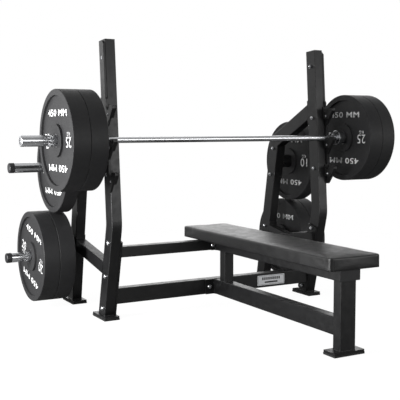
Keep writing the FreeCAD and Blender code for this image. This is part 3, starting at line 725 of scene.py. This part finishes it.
def plate_print():
    """A thin border round plain blocks, with no lettering."""
    low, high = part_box("name_plate")
    front = low.y - PRINT_LIFT
    middle_x, middle_z = (low.x + high.x) / 2, (low.z + high.z) / 2
    half_x, half_z = (high.x - low.x) / 2, (high.z - low.z) / 2
    build = bmesh.new()

    def bar(x0, x1, z0, z1):
        corners = ((x0, z0), (x1, z0), (x1, z1), (x0, z1))
        build.faces.new([build.verts.new((middle_x + x, front, middle_z + z)) for x, z in corners])

    right, top = half_x - BORDER_INSET, half_z - BORDER_INSET
    bar(-right, right, top - BORDER_W, top)
    bar(-right, right, -top, -top + BORDER_W)
    bar(-right, -right + BORDER_W, -top + BORDER_W, top - BORDER_W)
    bar(right - BORDER_W, right, -top + BORDER_W, top - BORDER_W)
    for k in range(BLOCKS):
        left = BLOCK_LEFT + BLOCK_PITCH * k
        bar(left, left + BLOCK_W, *BLOCK_HEIGHTS)
    bar(-BAR_HALF, BAR_HALF, *BAR_HEIGHTS)
    mesh = bpy.data.meshes.new("name_plate_print")
    build.to_mesh(mesh)
    build.free()
    linked("name_plate_print", mesh, dark_print(), "frame")


plate_print()


# ---------------------------------------------------------------- stage, lights, camera
# The floor's own colour to the eye, its colour to light and reflections, and what it adds by itself.
FLOOR_SHADE = (0.14, 0.14, 0.14)
FLOOR_BOUNCE = (0.22, 0.22, 0.22)
FLOOR_GLOW = 0.94
FLOOR_R, FLOOR_FADE = 7.0, (0.9, 3.4)


def stage_floor():
    """A white floor that fades out into the background; paler to the eye than to light and reflections."""
    build = bmesh.new()
    bmesh.ops.create_circle(build, cap_ends=True, segments=96, radius=FLOOR_R)
    mesh = bpy.data.meshes.new("stage_floor")
    build.to_mesh(mesh)
    build.free()
    floor = bpy.data.objects.new("stage_floor", mesh)
    scene.collection.objects.link(floor)
    floor.location = (0, 0, -0.0005)
    material = bpy.data.materials.new("stage_floor")
    material.use_nodes = True
    tree = material.node_tree
    tree.nodes.clear()
    made = {kind: tree.nodes.new("ShaderNode" + kind) for kind in
            ("OutputMaterial", "BsdfDiffuse", "Emission", "BsdfTransparent", "AddShader", "LightPath",
             "TexCoord", "VectorMath", "MapRange")}
    fade = tree.nodes.new("ShaderNodeMixShader")
    seen = tree.nodes.new("ShaderNodeMixShader")
    bounced = tree.nodes.new("ShaderNodeBsdfDiffuse")
    made["BsdfDiffuse"].inputs["Color"].default_value = (*FLOOR_SHADE, 1)
    bounced.inputs["Color"].default_value = (*FLOOR_BOUNCE, 1)
    made["Emission"].inputs["Strength"].default_value = FLOOR_GLOW
    made["VectorMath"].operation = "LENGTH"
    link = tree.links.new
    link(made["TexCoord"].outputs["Object"], made["VectorMath"].inputs[0])
    link(made["VectorMath"].outputs["Value"], made["MapRange"].inputs["Value"])
    made["MapRange"].inputs["From Min"].default_value = FLOOR_FADE[0]
    made["MapRange"].inputs["From Max"].default_value = FLOOR_FADE[1]
    link(made["BsdfDiffuse"].outputs[0], made["AddShader"].inputs[0])
    link(made["Emission"].outputs[0], made["AddShader"].inputs[1])
    link(made["LightPath"].outputs["Is Camera Ray"], seen.inputs[0])
    link(bounced.outputs[0], seen.inputs[1])
    link(made["AddShader"].outputs[0], seen.inputs[2])
    link(made["MapRange"].outputs[0], fade.inputs[0])
    link(seen.outputs[0], fade.inputs[1])
    link(made["BsdfTransparent"].outputs[0], fade.inputs[2])
    link(fade.outputs[0], made["OutputMaterial"].inputs[0])
    mesh.materials.append(material)


ROOM_STRENGTH = 2.1
# Brightness of the room by height, as (sine of the elevation, brightness).
FRONT_ROOM = ((-1.0, 0.015), (-0.2, 0.045), (-0.06, 0.22), (0.02, 0.3), (0.1, 0.22), (0.2, 0.16), (0.6, 0.16),
              (0.9, 0.06))
BACK_ROOM = ((-1.0, 0.015), (-0.12, 0.04), (-0.02, 0.5), (0.06, 0.95), (0.35, 0.95), (0.7, 0.2), (1.0, 0.05))
# Level direction of the bright wall, and how far round from it the room turns dim.
WALL_AIM = (0.5, 0.866, 0.0)
WALL_SPREAD = (0.3, 0.85)


def studio_world():
    """A white backdrop for the eye; for light and reflections, a bright wall on one side of a dim room."""
    world = bpy.data.worlds.new("studio")
    scene.world = world
    world.use_nodes = True
    tree = world.node_tree
    tree.nodes.clear()
    output = tree.nodes.new("ShaderNodeOutputWorld")
    room = tree.nodes.new("ShaderNodeBackground")
    white = tree.nodes.new("ShaderNodeBackground")
    mix = tree.nodes.new("ShaderNodeMixShader")
    path = tree.nodes.new("ShaderNodeLightPath")
    coords = tree.nodes.new("ShaderNodeTexCoord")
    split = tree.nodes.new("ShaderNodeSeparateXYZ")
    lift = tree.nodes.new("ShaderNodeMapRange")
    toward = tree.nodes.new("ShaderNodeVectorMath")
    toward.operation = "DOT_PRODUCT"
    toward.inputs[1].default_value = WALL_AIM
    facing = tree.nodes.new("ShaderNodeMapRange")
    halves = tree.nodes.new("ShaderNodeMix")
    halves.data_type = "RGBA"
    link = tree.links.new
    link(coords.outputs["Generated"], split.inputs[0])
    link(split.outputs["Z"], lift.inputs["Value"])
    lift.inputs["From Min"].default_value = -1.0
    link(coords.outputs["Generated"], toward.inputs[0])
    link(toward.outputs["Value"], facing.inputs["Value"])
    facing.inputs["From Min"].default_value = WALL_SPREAD[0]
    facing.inputs["From Max"].default_value = WALL_SPREAD[1]
    link(facing.outputs[0], halves.inputs[0])
    for stops, socket in ((FRONT_ROOM, halves.inputs[6]), (BACK_ROOM, halves.inputs[7])):
        ramp = tree.nodes.new("ShaderNodeValToRGB")
        link(lift.outputs[0], ramp.inputs[0])
        elements = ramp.color_ramp.elements
        while len(elements) < len(stops):
            elements.new(0.5)
        for element, (height, value) in zip(elements, stops):
            element.position = (height + 1) / 2
            element.color = (value, value, value, 1)
        link(ramp.outputs[0], socket)
    link(halves.outputs[2], room.inputs["Color"])
    room.inputs["Strength"].default_value = ROOM_STRENGTH
    white.inputs["Color"].default_value = (1, 1, 1, 1)
    link(path.outputs["Is Camera Ray"], mix.inputs[0])
    link(room.outputs[0], mix.inputs[1])
    link(white.outputs[0], mix.inputs[2])
    link(mix.outputs[0], output.inputs[0])


# Each soft light: place, what it points at, width and height, watts.
SOFT_LIGHTS = {
    "left_key": ((-2.5, 0.1, 0.75), (-0.9, 0.2, 0.45), (1.0, 1.1), 88),
    "top_soft": ((0.2, 0.3, 3.2), (0, 0.1, 0.5), (2.6, 2.2), 8),
    "front_soft": ((1.8, -4.3, 1.3), (0.2, 0, 0.8), (4.8, 1.2), 56),
}


def soft_light(name, place, target, size, power):
    light = bpy.data.lights.new(name, "AREA")
    light.shape = "RECTANGLE"
    light.size, light.size_y = size
    light.energy = power
    holder = bpy.data.objects.new(name, light)
    scene.collection.objects.link(holder)
    holder.location = place
    holder.rotation_euler = (Vector(target) - Vector(place)).to_track_quat("-Z", "Y").to_euler()
    holder.visible_camera = False


# Camera place in metres, then its turns in degrees.
CAMERA_PLACE = (-2.0589, -3.3290, 0.9033)
CAMERA_YAW, CAMERA_DIP, CAMERA_ROLL = 28.97, 5.065, -0.12
camera_data = bpy.data.cameras.new("camera")
camera_data.sensor_width = 36.0
camera_data.lens = 73.75
camera = bpy.data.objects.new("camera", camera_data)
scene.collection.objects.link(camera)
camera.location = CAMERA_PLACE
aim = Matrix.Rotation(math.radians(-CAMERA_YAW), 4, "Z") @ Matrix.Rotation(math.radians(90 - CAMERA_DIP), 4, "X")
camera.rotation_euler = (aim @ Matrix.Rotation(math.radians(CAMERA_ROLL), 4, "Z")).to_euler()
scene.camera = camera

stage_floor()
studio_world()
for light_name, setting in SOFT_LIGHTS.items():
    soft_light(light_name, *setting)
